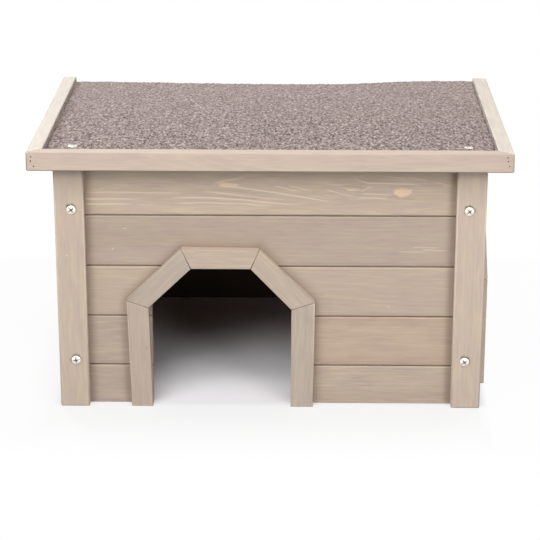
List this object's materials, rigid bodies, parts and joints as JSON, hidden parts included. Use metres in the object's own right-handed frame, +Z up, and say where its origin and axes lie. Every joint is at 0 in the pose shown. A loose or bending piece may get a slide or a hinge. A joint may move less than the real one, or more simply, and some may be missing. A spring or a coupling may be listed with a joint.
{
  "type": "small animal house",
  "caption": "Floorless wooden outdoor house for small animals: boarded walls on corner posts, framed doorways with slanted corners, and a felted roof with raised edging that falls to the back.",
  "frame": {"origin": "on the ground under the middle of the roof", "axes": "+X to the right seen from the front, +Y from the front to the back, +Z up"},
  "size_m": [0.5, 0.3691, 0.2924],
  "materials": {
    "wall_boards": "grey-brown glazed pine, matt",
    "posts": "grey-brown glazed pine, matt",
    "cleats": "grey-brown glazed pine, matt",
    "doorway_frames": "grey-brown glazed pine, matt",
    "roof_edging": "grey-brown glazed pine, matt",
    "roof_deck": "bare plywood",
    "roof_felt": "mineral-surfaced bitumen felt, coarse matt grit",
    "screws": "bright zinc plate",
    "brads": "plain steel"
  },
  "bodies": {
    "root": {"back_board_1": "wall_boards", "back_board_2": "wall_boards", "back_board_3": "wall_boards", "back_board_4": "wall_boards", "back_board_5": "wall_boards", "back_post_left": "posts", "back_post_right": "posts", "back_wall_screws": "screws", "doorway_brads": "brads", "edging_brads": "brads", "front_board_1": "wall_boards", "front_board_2": "wall_boards", "front_board_3_left": "wall_boards", "front_board_3_right": "wall_boards", "front_board_4_left": "wall_boards", "front_board_4_right": "wall_boards", "front_board_5_left": "wall_boards", "front_board_5_right": "wall_boards", "front_door_jamb_left": "doorway_frames", "front_door_jamb_right": "doorway_frames", "front_door_lintel": "doorway_frames", "front_door_shoulder_left": "doorway_frames", "front_door_shoulder_right": "doorway_frames", "front_edging": "roof_edging", "front_post_left": "posts", "front_post_right": "posts", "front_wall_screws": "screws", "left_board_1": "wall_boards", "left_board_2": "wall_boards", "left_board_3": "wall_boards", "left_board_4": "wall_boards", "left_board_5": "wall_boards", "left_cleat_back": "cleats", "left_cleat_front": "cleats", "left_edging": "roof_edging", "right_board_1": "wall_boards", "right_board_2": "wall_boards", "right_board_3_back": "wall_boards", "right_board_3_front": "wall_boards", "right_board_4_back": "wall_boards", "right_board_4_front": "wall_boards", "right_board_5_back": "wall_boards", "right_board_5_front": "wall_boards", "right_cleat_back": "cleats", "right_cleat_front": "cleats", "right_edging": "roof_edging", "roof_deck": "roof_deck", "roof_felt": "roof_felt", "roof_screws": "screws", "side_door_jamb_back": "doorway_frames", "side_door_jamb_front": "doorway_frames", "side_door_lintel": "doorway_frames", "side_door_shoulder_back": "doorway_frames", "side_door_shoulder_front": "doorway_frames", "wall_brads": "brads"}
  },
  "joints": []
}
